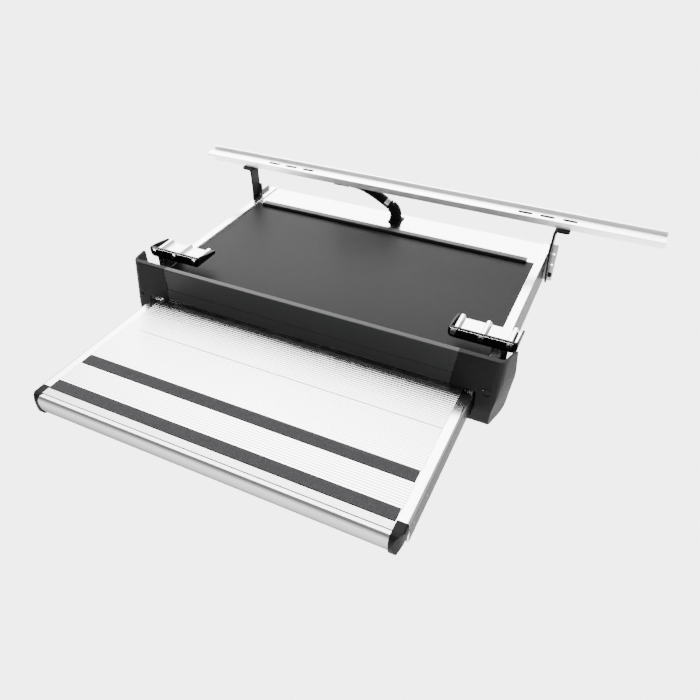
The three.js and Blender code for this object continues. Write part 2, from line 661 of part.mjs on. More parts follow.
add('conduit_flange', 'plastic', box(-10, 14, 456, 483, SHEET_TOP + GAP, SHEET_TOP + 2.6));
add('conduit_elbow', 'rubber', join(
  rod('z', 11.6, CONDUIT_FOOT, SHEET_TOP + 2.9, SHEET_TOP + 7, 20),
  tube(CONDUIT_RADIUS + 1.1, ELBOW_ROUTE, 12, 16)));
add('conduit_hose', 'rubber', tube(CONDUIT_RADIUS, HOSE_ROUTE, 12, 16));
add('conduit_plug', 'plastic', tube(CONDUIT_RADIUS + 0.8, PLUG_ROUTE, 4, 12));

// ---------------------------------------------------------------- cross rail and its struts
function railSlots() {
  const [length, width] = RAIL_SLOT;
  return RAIL_SLOT_CENTRES.flatMap((first) => [0, 1, 2].map((i) => {
    const x = first + i * RAIL_SLOT_PITCH;
    const left = x - length / 2;
    const right = x + length / 2;
    const front = RAIL_SLOT_Y - width / 2;
    const back = RAIL_SLOT_Y + width / 2;
    const corners = [
      [left, front, width / 2], [right, front, width / 2], [right, back, width / 2], [left, back, width / 2],
    ];
    return alongZ(corners, RAIL_TOP - 12, RAIL_TOP + 12);
  }));
}

function crossRail() {
  const under = RAIL_TOP - RAIL_THICK;
  const corners = [
    [RAIL_FRONT, RAIL_TOP - RAIL_FLANGE_DOWN], [RAIL_FRONT + 3, RAIL_TOP - RAIL_FLANGE_DOWN],
    [RAIL_FRONT + 3, under], [RAIL_BACK, under], [RAIL_BACK, RAIL_TOP + RAIL_FLANGE_UP],
    [RAIL_BACK - 3, RAIL_TOP + RAIL_FLANGE_UP], [RAIL_BACK - 3, RAIL_TOP], [RAIL_FRONT, RAIL_TOP, 1],
  ];
  const notch = box(
    RAIL_LEFT - 1, RAIL_LEFT + RAIL_NOTCH, RAIL_FRONT - 1, RAIL_FRONT + 3, RAIL_TOP - 20, under);
  return cut(alongX(corners, RAIL_LEFT, RAIL_RIGHT), notch, ...railSlots());
}

const FOOT_BOLT = [311, 461];

function strut() {
  const back = STRUT_FRONT + STRUT_WIDTH;
  const outer = STRUT_X + STRUT_THICK;
  const footUnder = FOOT_TOP - STRUT_THICK;
  const section = [
    [STRUT_X, FOOT_TOP, 5], [STRUT_X - 1, 42], [STRUT_X + 2, STRUT_BOTTOM], [STRUT_X + 5, STRUT_BOTTOM],
    [outer - 1.6, 42], [outer, footUnder, 1.5], [FOOT_OUT, footUnder], [FOOT_OUT, FOOT_TOP],
  ];
  const blade = alongY(section, STRUT_FRONT, 474);
  const plan = alongZ([
    [STRUT_X - 3, STRUT_FRONT], [outer + 1.5, STRUT_FRONT, 1], [outer + 2, FOOT_FRONT, 1],
    [FOOT_OUT, FOOT_FRONT, 6], [FOOT_OUT, 473, 6], [STRUT_X - 3, 473],
  ], STRUT_BOTTOM - 1, FOOT_TOP + 1);
  const face = alongX([
    [STRUT_FRONT - 1, FOOT_TOP + 1], [STRUT_FRONT - 1, 34], [STRUT_FRONT + 3, STRUT_BOTTOM, 5],
    [back - 8, STRUT_BOTTOM, 5], [back - 8, 2], [back, 30], [back, FOOT_TOP - 7], [474, FOOT_TOP - 4.2],
    [474, FOOT_TOP + 1],
  ], STRUT_X - 4, FOOT_OUT + 1);
  const footHole = rod('z', 4.3, FOOT_BOLT, 60, 100, 12);
  return cut(common(blade, plan, face), footHole);
}

const SPACER_Z = [FOOT_TOP + GAP, RAIL_TOP - RAIL_THICK - GAP];

function strutSpacer() {
  const ring = rod('z', 6.6, FOOT_BOLT, SPACER_Z[0], SPACER_Z[1], 16);
  return cut(ring, rod('z', 4.3, FOOT_BOLT, 60, 120, 12));
}

function strutBolt() {
  const head = hexagon('z', 13, FOOT_BOLT, FOOT_TOP - STRUT_THICK - 6, FOOT_TOP - STRUT_THICK - GAP);
  const shank = rod('z', 4, FOOT_BOLT, FOOT_TOP - STRUT_THICK - 1, SPACER_Z[1], 12);
  return join(head, shank);
}

const ANGLE_Y = STRUT_FRONT + STRUT_WIDTH + GAP;
const ANGLE_OUT = 309;
const ANGLE_HOLE_X = 304.2;
const ANGLE_HOLES = [28, 6.8, -13.5];

function strutAngle() {
  const corners = [
    [CASSETTE_HALF + GAP, ANGLE_Y], [ANGLE_OUT, ANGLE_Y], [ANGLE_OUT, ANGLE_Y + 2.6],
    [CASSETTE_HALF + GAP + 2.6, ANGLE_Y + 2.6],
    [CASSETTE_HALF + GAP + 2.6, 489], [CASSETTE_HALF + GAP, 489],
  ];
  const trim = box(290, 310, ANGLE_Y + 2.6, 495, 33, 50);
  const holes = ANGLE_HOLES.map((z) => rod('y', 2.4, [ANGLE_HOLE_X, z], ANGLE_Y - 2, ANGLE_Y + 6, 12));
  return cut(alongZ(corners, -25, 47), trim, ...holes);
}

function strutScrew() {
  const at = [ANGLE_HOLE_X, ANGLE_HOLES[2]];
  const head = rod('y', 3.6, at, ANGLE_Y - 3.4, ANGLE_Y - GAP, 16);
  const shank = rod('y', 2.1, at, ANGLE_Y - 1, ANGLE_Y + 8, 12);
  return join(head, shank);
}

add('cross_rail', 'zinc', crossRail());
addPair('strut', 'black', strut());
addPair('strut_bolt', 'black', strutBolt());
addPair('strut_spacer', 'zinc', strutSpacer());
addPair('strut_angle', 'zinc', strutAngle());
addPair('strut_screw', 'black', strutScrew());

// ---------------------------------------------------------------- front mounting brackets
const stations = (centre) => [-1, 0, 1].map((i) => centre - 1.5 + i * BRACKET_BOLT_PITCH);

// A trough with rounded lower corners, open at the back and top, whose ears fall away to the rear.
function bracketFrame(centre) {
  const left = centre - BRACKET_HALF;
  const right = centre + BRACKET_HALF;
  const inFloor = BRACKET_BOTTOM + 2.5;
  const trough = alongY([
    [left, BRACKET_BOTTOM, 8.5], [right, BRACKET_BOTTOM, 8.5], [right, BRACKET_TOP, 4], [left, BRACKET_TOP, 4],
  ], BRACKET_FRONT, BRACKET_BACK, [], 8);
  const inside = alongY([
    [left + BRACKET_WALL, inFloor, 2], [right - BRACKET_WALL, inFloor, 2], [right - BRACKET_WALL, 75],
    [left + BRACKET_WALL, 75],
  ], BRACKET_FRONT + BRACKET_WALL, BRACKET_BACK + 5);
  const slope = alongX([
    [BRACKET_FRONT + 4, BRACKET_TOP], [BRACKET_BACK + 1, BRACKET_REAR_TOP], [BRACKET_BACK + 1, 75],
    [BRACKET_FRONT + 4, 75],
  ], left - 1, right + 1);
  const pins = stations(centre).map((x) => rod(
    'y', 1.9, [x, 49.2], BRACKET_FRONT - 2.6, BRACKET_FRONT + 1, 12));
  return join(cut(trough, inside, slope), ...pins);
}

// A thin strip along the bracket's top edge that carries the three nuts.
function nutStrip(centre) {
  const back = BRACKET_FRONT - GAP;
  const strip = box(centre - 46.5, centre + 43, back - 1.3, back, 59.2, 60.9);
  const tabs = stations(centre).map((x) => box(x - 2.6, x + 2.6, back - 1.3, back, 55, 60));
  const nuts = stations(centre).map((x) => hexagon('y', 7.6, [x, 56.3], back - 4.4, back));
  return join(strip, ...tabs, ...nuts);
}

function clampPlate(centre) {
  const floor = BRACKET_BOTTOM + 2.5 + GAP;
  const flat = floor + 4;
  const half = BRACKET_HALF - BRACKET_WALL - GAP - 0.2;
  const rise = 5.7;
  const ridge = (x) => [[x + 5, flat], [x + 2.6, flat + rise, 1.4], [x - 2.6, flat + rise, 1.4], [x - 5, flat]];
  const [first, middle, last] = stations(centre);
  const corners = [
    [centre - half, floor, 2.2], [centre + half, floor, 2.2], [centre + half, flat], ...ridge(last - 1),
    ...ridge(middle), ...ridge(first + 1), [centre - half, flat],
  ];
  return alongY(corners, BRACKET_FRONT + BRACKET_WALL + GAP, BRACKET_BACK - 2.5);
}

// A stepped block that stands on the side rail and hooks over its outer edge.
function clampFoot() {
  const seat = COVER_TOP + GAP;
  const corners = [
    [279.3, seat], [CASSETTE_HALF + GAP, seat], [CASSETTE_HALF + GAP, 12], [302.5, 12],
    [302.5, BRACKET_BOTTOM - GAP], [279.3, BRACKET_BOTTOM - GAP],
  ];
  const groove = box(291.2, 292.4, 138, 141.5, seat - 1, BRACKET_BOTTOM + 1);
  const corner = box(270, 291.8, 138, 143, 39.5, BRACKET_BOTTOM + 1);
  return cut(alongY(corners, 140, 174), groove, corner);
}

for (const [side, centre] of Object.entries(BRACKET_CENTRES)) {
  const placed = (geometry) => (side === 'left' ? mirrored(geometry) : geometry);
  add(`bracket_frame_${side}`, 'black', placed(bracketFrame(centre)));
  add(`nut_strip_${side}`, 'zinc', placed(nutStrip(centre)));
  add(`clamp_plate_${side}`, 'zinc', placed(clampPlate(centre)));
}
addPair('clamp_foot', 'zinc', clampFoot());

const [originX, originY, originZ] = ORIGIN_ON_RAIL;
step.position.set(-originX, -originY, -originZ);

export default step;
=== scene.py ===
import json
import math

import bmesh
import bpy
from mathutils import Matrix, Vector

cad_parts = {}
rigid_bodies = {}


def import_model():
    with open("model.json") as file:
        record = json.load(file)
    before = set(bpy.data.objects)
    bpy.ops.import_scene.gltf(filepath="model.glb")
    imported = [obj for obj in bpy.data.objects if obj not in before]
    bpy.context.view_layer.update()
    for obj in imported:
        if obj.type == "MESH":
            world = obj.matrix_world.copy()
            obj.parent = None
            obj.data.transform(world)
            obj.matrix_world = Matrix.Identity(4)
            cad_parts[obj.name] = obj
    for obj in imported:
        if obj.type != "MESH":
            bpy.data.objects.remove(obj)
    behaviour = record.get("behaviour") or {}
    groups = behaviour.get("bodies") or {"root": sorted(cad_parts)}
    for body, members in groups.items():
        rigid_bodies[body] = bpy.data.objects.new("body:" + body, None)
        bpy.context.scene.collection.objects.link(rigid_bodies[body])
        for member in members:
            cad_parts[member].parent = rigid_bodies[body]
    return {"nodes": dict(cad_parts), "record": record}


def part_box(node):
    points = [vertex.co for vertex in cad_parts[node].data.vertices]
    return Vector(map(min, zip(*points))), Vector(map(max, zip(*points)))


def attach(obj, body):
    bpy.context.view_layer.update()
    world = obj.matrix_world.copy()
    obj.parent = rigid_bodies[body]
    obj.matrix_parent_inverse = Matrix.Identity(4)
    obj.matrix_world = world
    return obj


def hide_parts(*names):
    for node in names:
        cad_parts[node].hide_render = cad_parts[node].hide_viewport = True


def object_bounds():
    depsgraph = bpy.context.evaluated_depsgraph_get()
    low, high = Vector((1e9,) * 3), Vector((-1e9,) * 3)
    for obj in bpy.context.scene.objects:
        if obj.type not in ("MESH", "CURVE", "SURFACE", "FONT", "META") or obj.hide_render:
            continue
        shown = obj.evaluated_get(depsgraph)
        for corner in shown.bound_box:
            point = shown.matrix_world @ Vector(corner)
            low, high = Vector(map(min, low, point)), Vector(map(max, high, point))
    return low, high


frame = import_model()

for stray in list(bpy.context.scene.objects):
    if stray.name not in frame["nodes"] and not stray.name.startswith("body:"):
        bpy.data.objects.remove(stray)
bpy.context.view_layer.update()
CAD_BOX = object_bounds()

MM = 0.001
BODY_OF = {node: body for body, nodes in frame["record"]["behaviour"]["bodies"].items() for node in nodes}
SLOT_OF = {row["node"]: row["material_slot"] for row in frame["record"]["subparts"]}


# ---------------------------------------------------------------- material tools
class Nodes:
    """A material's node tree, with a few short ways to add to it."""

    def __init__(self, name, base, roughness, metallic=0.0):
        self.material = bpy.data.materials.new(name)
        self.material.use_nodes = True
        self.tree = self.material.node_tree
        self.shader = self.tree.nodes["Principled BSDF"]
        self.shader.inputs["Base Color"].default_value = (*base, 1)
        self.shader.inputs["Roughness"].default_value = roughness
        self.shader.inputs["Metallic"].default_value = metallic

    def add(self, kind, **values):
        node = self.tree.nodes.new(kind)
        for key, value in values.items():
            if key in node.inputs:
                node.inputs[key].default_value = value
            else:
                setattr(node, key.lower(), value)
        return node

    def link(self, start, end):
        self.tree.links.new(start, end)

    def place(self, stretch=(1, 1, 1)):
        """Object coordinates, stretched: a texture along an extrusion has a small number on that axis."""
        coordinates = self.add("ShaderNodeTexCoord")
        mapping = self.add("ShaderNodeMapping", Scale=stretch)
        self.link(coordinates.outputs["Object"], mapping.inputs["Vector"])
        return mapping.outputs["Vector"]

    def noise(self, scale, stretch=(1, 1, 1), detail=4.0, rough=0.5):
        texture = self.add("ShaderNodeTexNoise", Scale=scale, Detail=detail, Roughness=rough)
        self.link(self.place(stretch), texture.inputs["Vector"])
        return texture.outputs["Fac"]

    def cells(self, scale):
        texture = self.add("ShaderNodeTexVoronoi", Scale=scale)
        self.link(self.place(), texture.inputs["Vector"])
        return texture

    def ramp(self, value, low, high, start=0.3, end=0.7):
        """Turns a 0..1 value into a colour between low and high."""
        node = self.add("ShaderNodeValToRGB")
        node.color_ramp.elements[0].position = start
        node.color_ramp.elements[0].color = (*low, 1)
        node.color_ramp.elements[1].position = end
        node.color_ramp.elements[1].color = (*high, 1)
        self.link(value, node.inputs["Fac"])
        return node.outputs["Color"]

    def span(self, value, low, high):
        """Maps a 0..1 value to low..high."""
        node = self.add("ShaderNodeMapRange")
        node.inputs["To Min"].default_value = low
        node.inputs["To Max"].default_value = high
        self.link(value, node.inputs["Value"])
        return node.outputs["Result"]

    def colour(self, socket):
        self.link(socket, self.shader.inputs["Base Color"])

    def roughness(self, socket):
        self.link(socket, self.shader.inputs["Roughness"])

    def bump(self, height, distance):
        """Adds a bump of that many metres on top of the bumps added before."""
        node = self.add("ShaderNodeBump", Distance=distance, Strength=1.0)
        self.link(height, node.inputs["Height"])
        earlier = self.shader.inputs["Normal"].links
        if earlier:
            self.link(earlier[0].from_socket, node.inputs["Normal"])
        self.link(node.outputs["Normal"], self.shader.inputs["Normal"])


def specular(m, level):
    """How strongly a coated or moulded surface mirrors its surroundings; it is the same all over."""
    m.shader.inputs["Specular IOR Level"].default_value = level


def anodised_aluminium(name, along, tone=0.55, rough=(0.14, 0.24), edge=1.0):
    """Satin anodised extrusion: die lines run along one axis; edge dulls it at a glancing angle."""
    stretch = tuple(0.02 if axis == along else 1 for axis in "xyz")
    m = Nodes(name, (tone, tone, tone), 0.2, 1.0)
    lines = m.noise(900, stretch, 3)
    clouds = m.noise(9, detail=3)
    m.colour(m.ramp(clouds, (tone * 0.95, tone * 0.955, tone * 0.96), (tone, tone, tone)))
    m.shader.inputs["Specular Tint"].default_value = (edge, edge, edge, 1)
    m.roughness(m.span(lines, *rough))
    m.bump(lines, 0.000012)
    return m.material


def moulded_plastic(name, tone, gloss=0.5):
    """Fine spark-eroded grain with slight gloss variation."""
    m = Nodes(name, tone, gloss)
    specular(m, 0.03)
    grain = m.noise(2600, detail=5, rough=0.6)
    patches = m.noise(22, detail=3)
    m.colour(m.ramp(patches, tuple(0.85 * c for c in tone), tuple(1.15 * c for c in tone)))
    m.roughness(m.span(patches, gloss - 0.07, gloss + 0.08))
    m.bump(grain, 0.0001)
    return m.material


def powder_coat(name, tone, gloss, shine):
    """Powder-coated metal: orange peel under a satin skin, with a fine fleck in the tone."""
    m = Nodes(name, tone, gloss)
    specular(m, shine)
    peel_noise = m.noise(700, detail=2)
    fleck = m.noise(3500, detail=2)
    m.colour(m.ramp(fleck, tuple(0.86 * c for c in tone), tuple(1.14 * c for c in tone)))
    m.roughness(m.span(peel_noise, gloss - 0.06, gloss + 0.08))
    m.bump(peel_noise, 0.00005)
    return m.material


def grip_tape(name):
    """Mineral grit bonded into a dark strip: sharp small grains with scattered glints."""
    m = Nodes(name, (0.035, 0.035, 0.036), 0.85)
    specular(m, 0.05)
    grains = m.cells(1500)
    broad = m.noise(60, detail=4)
    speck = m.noise(3200, detail=3)
    m.colour(m.ramp(speck, (0.018, 0.018, 0.019), (0.06, 0.06, 0.062), 0.35, 0.75))
    m.roughness(m.span(broad, 0.72, 0.95))
    m.bump(grains.outputs["Distance"], 0.0004)
    return m.material


def zinc_plate(name, tone, rough):
    """Bright zinc on steel: soft cloudy roughness and fine pickling marks."""
    m = Nodes(name, (tone, tone, tone), 0.2, 1.0)
    clouds = m.noise(28, detail=5, rough=0.6)
    fine = m.noise(1100, detail=2)
    m.colour(m.ramp(clouds, (tone * 0.93, tone * 0.94, tone * 0.955), (tone, tone, tone)))
    m.roughness(m.span(clouds, *rough))
    m.bump(fine, 0.00001)
    return m.material


def rubber(name, tone):
    """Matt black rubber with a little dust and fine pores."""
    m = Nodes(name, tone, 0.6)
    specular(m, 0.03)
    dust = m.noise(45, detail=5)
    pores = m.noise(1900, detail=3)
    m.colour(m.ramp(dust, tone, tuple(c * 1.7 for c in tone)))
    m.roughness(m.span(dust, 0.5, 0.72))
    m.bump(pores, 0.00008)
    return m.material


def drawn_steel(name):
    """Drawn bar: fine lines along Y, with a soft sheen between them."""
    stretch = (1, 0.03, 1)
    m = Nodes(name, (0.6, 0.61, 0.63), 0.28, 1.0)
    lines = m.noise(1300, stretch, 3)
    m.colour(m.ramp(lines, (0.52, 0.53, 0.55), (0.66, 0.67, 0.68)))
    m.roughness(m.span(lines, 0.2, 0.36))
    m.bump(lines, 0.00003)
    return m.material


def coated_sheet(name):
    """Dark satin coil coating with a very fine leather-like texture."""
    m = Nodes(name, (0.009, 0.0092, 0.0095), 0.45)
    specular(m, 0.02)
    skin = m.noise(1500, detail=3)
    drift = m.noise(5, detail=2)
    m.colour(m.ramp(drift, (0.0072, 0.0074, 0.0076), (0.0105, 0.0108, 0.011)))
    m.roughness(m.span(drift, 0.38, 0.5))
    m.bump(skin, 0.00006)
    return m.material


MATERIALS = {
    "anodised_aluminium": anodised_aluminium("anodised_across", "x"),
    "aluminium_long": anodised_aluminium("anodised_lengthwise", "y"),
    # a shaded copy for the rails' outer flanks: its dark tone and weak edge tint are painted shade
    "aluminium_flank_painted_shade": anodised_aluminium("anodised_flank_painted_shade", "y", 0.14, (0.26, 0.38), 0.25),
    # a shaded copy for the nose's front: its darker tone and weak edge tint are painted shade
    "aluminium_nose_painted_shade": anodised_aluminium("anodised_nose_painted_shade", "x", 0.34, (0.16, 0.26), 0.2),
    "black_plastic": moulded_plastic("black_moulding", (0.008, 0.008, 0.0083)),
    "grip_tape": grip_tape("grip_tape"),
    "rubber": rubber("black_rubber", (0.004, 0.004, 0.004)),
    "anthracite": powder_coat("anthracite_coat", (0.022, 0.023, 0.0225), 0.3, 0.05),
    "cover_sheet": coated_sheet("cover_coating"),
    "black_steel": powder_coat("black_coat", (0.004, 0.004, 0.0042), 0.4, 0.05),
    "zinc_steel": zinc_plate("zinc_plating", 0.5, (0.1, 0.2)),
    "zinc_dull": zinc_plate("zinc_dull", 0.25, (0.25, 0.35)),
    "zinc_rail": zinc_plate("zinc_rolled", 0.8, (0.34, 0.44)),
    # near-black coat for the walls of the rail's slots: painted shade inside the slots
    "slot_wall_painted_shade": powder_coat("slot_wall_painted_shade", (0.03, 0.03, 0.031), 0.6, 0.05),
    "bright_steel": drawn_steel("drawn_steel"),
}


# ---------------------------------------------------------------- mesh tools
SHARP_FROM = math.radians(34)
EDGE = 0.35 * MM


def clean_mesh(node):
    """The node's solid as a bmesh with shared corners and flat faces in one piece."""
    mesh = bmesh.new()
    mesh.from_mesh(frame["nodes"][node].data)
    bmesh.ops.remove_doubles(mesh, verts=mesh.verts, dist=2e-6)
    bmesh.ops.dissolve_limit(
        mesh, angle_limit=math.radians(0.5), verts=mesh.verts, edges=mesh.edges, delimit={"NORMAL"})
    return mesh


def soften(mesh, width):
    """Rounds every sharp edge, then splits the large faces, so that they shade evenly."""
    edges = [e for e in mesh.edges if e.is_manifold and e.calc_face_angle(0) > SHARP_FROM]
    bmesh.ops.bevel(mesh, geom=edges, offset=width, segments=2, profile=0.5, affect="EDGES",
                    clamp_overlap=True, harden_normals=False)
    bmesh.ops.triangulate(mesh, faces=[f for f in mesh.faces if len(f.verts) > 4])


def add_piece(mesh, name, material, smooth=None):
    """Turns a bmesh into an object; edges below the smooth angle, in degrees, shade as one surface."""
    data = bpy.data.meshes.new(name)
    mesh.to_mesh(data)
    mesh.free()
    piece = bpy.data.objects.new(name, data)
    bpy.context.scene.collection.objects.link(piece)
    data.materials.append(MATERIALS[material])
    if smooth:
        data.polygons.foreach_set("use_smooth", [True] * len(data.polygons))
        data.set_sharp_from_angle(angle=math.radians(smooth))
    return piece


def finish_piece(mesh, name, node, material, smooth=40):
    """A piece that stands for a CAD node and rides on the node's body."""
    piece = add_piece(mesh, name, material, smooth)
    weighted = piece.modifiers.new("face_area_normals", "WEIGHTED_NORMAL")
    weighted.weight = 100
    weighted.keep_sharp = True
    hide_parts(node)
    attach(piece, BODY_OF[node])
    return piece


def dress(node, material=None, width=EDGE):
    """The node's own shape with rounded edges."""
    mesh = clean_mesh(node)
    soften(mesh, width)
    return finish_piece(mesh, node + "_piece", node, material or SLOT_OF[node])


def slotted_rail():
    """The rolled cross rail; the walls of its slots are coated near black, as painted shade inside the
    slots.
    """
    piece = dress("cross_rail", "zinc_rail", 0.3 * MM)
    piece.data.materials.append(MATERIALS["slot_wall_painted_shade"])
    reach = 2.3 * MM    # a slot is this much larger than its opening box
    for opening in frame["record"]["physics"]["openings"]:
        if not opening["name"].startswith("rail_slot"):
            continue
        low, high = (Vector(corner) for corner in opening["box_m"])
        for face in piece.data.polygons:
            x, y, z = face.center
            inside = low.x - reach < x < high.x + reach and low.y - reach < y < high.y + reach
            if inside and low.z < z < high.z and abs(face.normal.z) < 0.5:
                face.material_index = 1


def skin(mesh, rings):
    """Joins rings of equally many points and closes both ends."""
    for one, other in zip(rings, rings[1:]):
        for k in range(len(one)):
            after = (k + 1) % len(one)
            mesh.faces.new((one[k], one[after], other[after], other[k]))
    mesh.faces.new(rings[0])
    mesh.faces.new(rings[-1])


def extrude_x(points, x0, x1):
    """A closed (y, z) outline run along X as a bmesh."""
    mesh = bmesh.new()
    rings = [[mesh.verts.new((x, y, z)) for y, z in points] for x in (x0, x1)]
    for i in range(len(points)):
        j = (i + 1) % len(points)
        mesh.faces.new((rings[0][i], rings[1][i], rings[1][j], rings[0][j]))
    mesh.faces.new(rings[0])
    mesh.faces.new(rings[1][::-1])
    bmesh.ops.recalc_face_normals(mesh, faces=mesh.faces)
    return mesh


# ---------------------------------------------------------------- sliding step
RIDGE_PITCH = 4.14 * MM
RIDGE_DEPTH = 0.34 * MM
RIDGE_STEPS = 8
RECESS = 1.0 * MM
GAP = 0.3 * MM
NOSE_LAND = 12 * MM     # where the nose's ribbed top ends, behind its front
NOSE_STEP = 1.3 * MM
TOP_RIB = 0.1 * MM
FRONT_RIB = 0.07 * MM


def tread_panel(node, strips):
    """A tread plank: rounded ridges over its top, except where the anti-slip strips are let in."""
    low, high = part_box(node)
    beds = []
    for strip in strips:
        strip_low, strip_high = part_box(strip)
        beds.append((strip_low.y - GAP, strip_high.y + GAP))
    points = [(high.y, low.z), (low.y, low.z)]
    steps = round((high.y - low.y) / RIDGE_PITCH * RIDGE_STEPS)
    for i in range(steps + 1):
        y = low.y + (high.y - low.y) * i / steps
        bedded = any(start < y < end for start, end in beds)
        wave = 0.5 - 0.5 * math.cos(2 * math.pi * (y - low.y) / RIDGE_PITCH)
        points.append((y, high.z - (RECESS if bedded else RIDGE_DEPTH * wave ** 2)))
    mesh = extrude_x(points, low.x, high.x)
    finish_piece(mesh, node + "_piece", node, "anodised_aluminium", 50)


def bull_nose(low, high):
    """The ribbed front of the nose in (y, z), from the step in its top down to its foot."""
    front = low.y
    foot_y = low.y + 6.5 * MM
    top = high.z - 1 * MM
    middle = high.z + (low.z - high.z + 1 * MM) * 0.42
    points = []
    steps = 72
    for i in range(steps + 1):
        turn = math.pi * (0.5 - i / steps) * 0.86
        half = top - middle if turn > 0 else middle - low.z
        y = front + (foot_y - front) * 1.15 * (1 - math.cos(turn))
        z = middle + half * math.sin(turn) / math.sin(math.pi * 0.43)
        dent = FRONT_RIB * (0.5 - 0.5 * math.cos(2 * math.pi * i / 6)) if 4 < i < 62 else 0
        points.append((y + dent * math.cos(turn), z - dent * math.sin(turn)))
    return points


def nose():
    """The nose profile: a flat top with a few ribs, a small step and a bull nose."""
    low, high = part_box("nose_profile")
    top = [(high.y, low.z + 6 * MM), (high.y, high.z)]
    land = low.y + NOSE_LAND
    steps = 40
    for i in range(steps + 1):
        y = high.y - 1 * MM + (land - high.y + 1 * MM) * i / steps
        wave = 0.5 - 0.5 * math.cos(2 * math.pi * i / 8)
        top.append((y, high.z - TOP_RIB * wave))
    top += [(land - 0.5 * MM, high.z - NOSE_STEP), (land - 1.1 * MM, high.z - NOSE_STEP)]
    outline = top + bull_nose(low, high) + [(low.y + 17 * MM, low.z)]
    mesh = extrude_x(outline, low.x, high.x)
    # the nose gets a darker copy of the tread's aluminium: painted shade on its front
    finish_piece(mesh, "nose_piece", "nose_profile", "aluminium_nose_painted_shade", 50)


SCREW_STATIONS = (12.1, 55.3, 155.7, 205.3)     # behind the rail's front, in mm
SCREW_SIDES = 24
SCREW_HEAD = ((2.65, 0.0), (2.65, 0.8), (2.3, 1.12))    # radius and height over the recess, in mm
SCREW_SOCKET = ((1.45, 1.12), (1.4, 0.1))


def screw_ring(mesh, centre, out, radius, height, hexagon):
    ring = []
    for k in range(SCREW_SIDES):
        turn = 2 * math.pi * k / SCREW_SIDES
        reach = radius
        if hexagon:
            reach = radius * math.cos(math.pi / 6) / math.cos((turn % (math.pi / 3)) - math.pi / 6)
        offset = Vector((out * height * MM, reach * MM * math.cos(turn), reach * MM * math.sin(turn)))
        ring.append(mesh.verts.new(centre + offset))
    return ring


def rail_screws(side):
    """Four screws with hexagon sockets, sunk in the outer side of a tray rail."""
    low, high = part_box("tray_rail_" + side)
    out = 1 if side == "right" else -1
    face = (high.x if out > 0 else low.x) - out * 1.2 * MM
    mesh = bmesh.new()
    for station in SCREW_STATIONS:
        centre = Vector((face, low.y + station * MM, high.z - 15 * MM))
        head = [screw_ring(mesh, centre, out, *size, False) for size in SCREW_HEAD]
        socket = [screw_ring(mesh, centre, out, *size, True) for size in SCREW_SOCKET]
        skin(mesh, head + socket)
    bmesh.ops.recalc_face_normals(mesh, faces=mesh.faces)
    piece = add_piece(mesh, "rail_screws_" + side, "black_steel")
    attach(piece, BODY_OF["tray_rail_" + side])


def paint_flank_shade(piece, side):
    """Gives the outer flank of a rail a darker, rougher, brushed copy of its aluminium: the dark tone and
    dim glancing reflection are painted shade for that side.
    """
    piece.data.materials.append(MATERIALS["aluminium_flank_painted_shade"])
    out = 1 if side == "right" else -1
    for face in piece.data.polygons:
        if face.normal.x * out > 0.7:
            face.material_index = 1


# ---------------------------------------------------------------- conduit
CONDUIT_RADIUS = 9.7 * MM
HOSE_PITCH = 4.2 * MM
HOSE_GROOVE = 1.2 * MM
# the hose's middle line, in mm
HOSE_ROUTE = (
    (-10.2, 5.7, -42.4), (-30, 8.1, -33.4), (-52, 10.9, -24.4), (-76, 12.7, -17.4), (-100, 12.5, -15))


def smooth_route(points, steps):
    """Points of a smooth curve through the given ones, in metres."""
    route = []
    for i in range(len(points) - 1):
        p = [Vector(points[min(max(i + k, 0), len(points) - 1)]) * MM for k in (-1, 0, 1, 2)]
        for k in range(steps):
            t = k / steps
            bend = (2 * p[0] - 5 * p[1] + 4 * p[2] - p[3]) * t * t
            twist = (3 * p[1] - p[0] - 3 * p[2] + p[3]) * t ** 3
            route.append(0.5 * ((2 * p[1]) + (p[2] - p[0]) * t + bend + twist))
    route.append(Vector(points[-1]) * MM)
    return route


def corrugated(route, radius, groove):
    """A hose round a route, with grooves of that depth."""
    sides = 28
    mesh = bmesh.new()
    rings = []
    travelled = 0.0
    for i, place in enumerate(route):
        ahead = (route[min(i + 1, len(route) - 1)] - route[max(i - 1, 0)]).normalized()
        if i:
            travelled += (place - route[i - 1]).length
        side = ahead.cross(Vector((0, 0, 1))).normalized()
        up = side.cross(ahead)
        reach = radius - groove * (0.5 + 0.5 * math.cos(2 * math.pi * travelled / HOSE_PITCH))
        ring = []
        for k in range(sides):
            turn = 2 * math.pi * k / sides
            ring.append(mesh.verts.new(place + reach * (math.cos(turn) * side + math.sin(turn) * up)))
        rings.append(ring)
    skin(mesh, rings)
    bmesh.ops.recalc_face_normals(mesh, faces=mesh.faces)
    return mesh


def conduit_hose():
    """The corrugated hose, and the bright clip round its lower end."""
    route = smooth_route(HOSE_ROUTE, 34)
    hose = corrugated(route, CONDUIT_RADIUS, HOSE_GROOVE)
    finish_piece(hose, "conduit_hose_piece", "conduit_hose", "rubber", 60)
    clip = add_piece(corrugated(route[6:20], CONDUIT_RADIUS + 0.5 * MM, 0), "hose_clip", "zinc_steel", 40)
    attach(clip, BODY_OF["conduit_hose"])


# ---------------------------------------------------------------- rear bar
BAR_RIB_PITCH = 4.0 * MM
BAR_RIB = ((-1.1, -0.2), (-0.6, 0.32), (0.6, 0.32), (1.1, -0.2))    # a rib's outline over the bar, in mm


